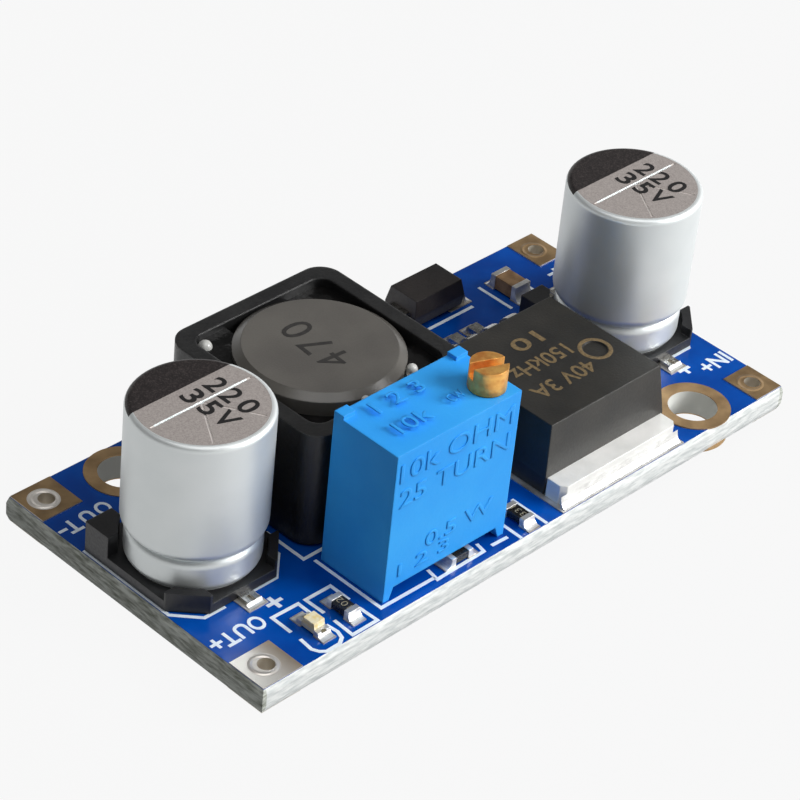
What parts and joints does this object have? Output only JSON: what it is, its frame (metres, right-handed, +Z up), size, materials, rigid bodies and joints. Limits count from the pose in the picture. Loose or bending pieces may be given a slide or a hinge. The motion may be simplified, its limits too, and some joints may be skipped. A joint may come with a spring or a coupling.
{
  "type": "buck converter module",
  "caption": "Adjustable step-down converter board with two can capacitors, a shielded inductor, a power regulator and a multi-turn trimmer",
  "frame": {"origin": "midpoint between the two mounting holes, on the board's underside", "axes": "+X from the output end towards the input end along the board's length, +Y from the trimmer's edge towards the diode's edge, +Z up out of the component side"},
  "size_m": [0.0433, 0.0211, 0.0142],
  "materials": {
    "solder_mask": "glossy blue solder mask over glass laminate",
    "bare_copper": "bare copper foil, tarnished",
    "can_aluminium": "satin drawn aluminium",
    "black_resin": "matte black plastic",
    "tinned_metal": "dull tin plate",
    "ferrite": "ground ferrite, matte",
    "enamelled_wire": "enamelled copper wire",
    "clear_glue": "cured glue",
    "moulded_epoxy": "moulded epoxy",
    "lamp_base": "glass laminate",
    "lamp_lens": "clear resin over a phosphor",
    "gold_plate": "gold plate",
    "resistor_body": "glass coat",
    "ceramic_body": "fired ceramic",
    "chip_tin": "tin plate",
    "trimmer_blue": "moulded plastic, semi-gloss",
    "screw_brass": "turned brass",
    "seal_rubber": "matte rubber",
    "rotor_plastic": "moulded plastic",
    "spring_contact": "spring alloy",
    "alumina": "fired alumina",
    "resistive_film": "fired cermet film",
    "solder": "bright solder"
  },
  "bodies": {
    "module": {"board": "solder_mask", "wire_pads": "bare_copper", "mounting_hole_rings": "bare_copper", "component_lands": "bare_copper", "output_capacitor_can": "can_aluminium", "output_capacitor_base": "black_resin", "output_capacitor_leads": "tinned_metal", "input_capacitor_can": "can_aluminium", "input_capacitor_base": "black_resin", "input_capacitor_leads": "tinned_metal", "inductor_shield": "ferrite", "inductor_core": "ferrite", "inductor_winding": "enamelled_wire", "inductor_filler": "black_resin", "inductor_adhesive": "clear_glue", "inductor_base": "black_resin", "inductor_terminals": "tinned_metal", "regulator_body": "moulded_epoxy", "regulator_tab": "tinned_metal", "regulator_leads": "tinned_metal", "diode_body": "moulded_epoxy", "diode_terminals": "tinned_metal", "led_base": "lamp_base", "led_lens": "lamp_lens", "led_terminals": "gold_plate", "led_resistor_body": "resistor_body", "led_resistor_caps": "chip_tin", "feedback_resistor_body": "resistor_body", "feedback_resistor_caps": "chip_tin", "feedback_capacitor_body": "ceramic_body", "feedback_capacitor_caps": "chip_tin", "bypass_capacitor_body": "ceramic_body", "bypass_capacitor_caps": "chip_tin", "trimmer_housing": "trimmer_blue", "trimmer_cover": "trimmer_blue", "trimmer_seal": "seal_rubber", "trimmer_element": "alumina", "trimmer_track": "resistive_film", "trimmer_pins": "tinned_metal", "solder_capacitors": "solder", "solder_inductor": "solder", "solder_regulator": "solder", "solder_diode": "solder", "solder_chips": "solder", "solder_trimmer": "solder"},
    "adjustment_screw": {"trimmer_screw": "screw_brass"},
    "rotor": {"trimmer_rotor": "rotor_plastic", "trimmer_wiper": "spring_contact"}
  },
  "joints": [
    {"name": "screw_turn", "type": "hinge", "parent": "module", "child": "adjustment_screw", "pos_m": [-0.00365, -0.00784, 0.0075], "axis": [0, 0, 1], "continuous": true},
    {"name": "rotor_turn", "type": "hinge", "parent": "module", "child": "rotor", "pos_m": [-0.00768, -0.00784, 0.00685], "axis": [0, 1, 0], "continuous": true}
  ],
  "couplings": [
    {"joint": "rotor_turn", "follows": "screw_turn", "ratio": 0.033333}
  ]
}
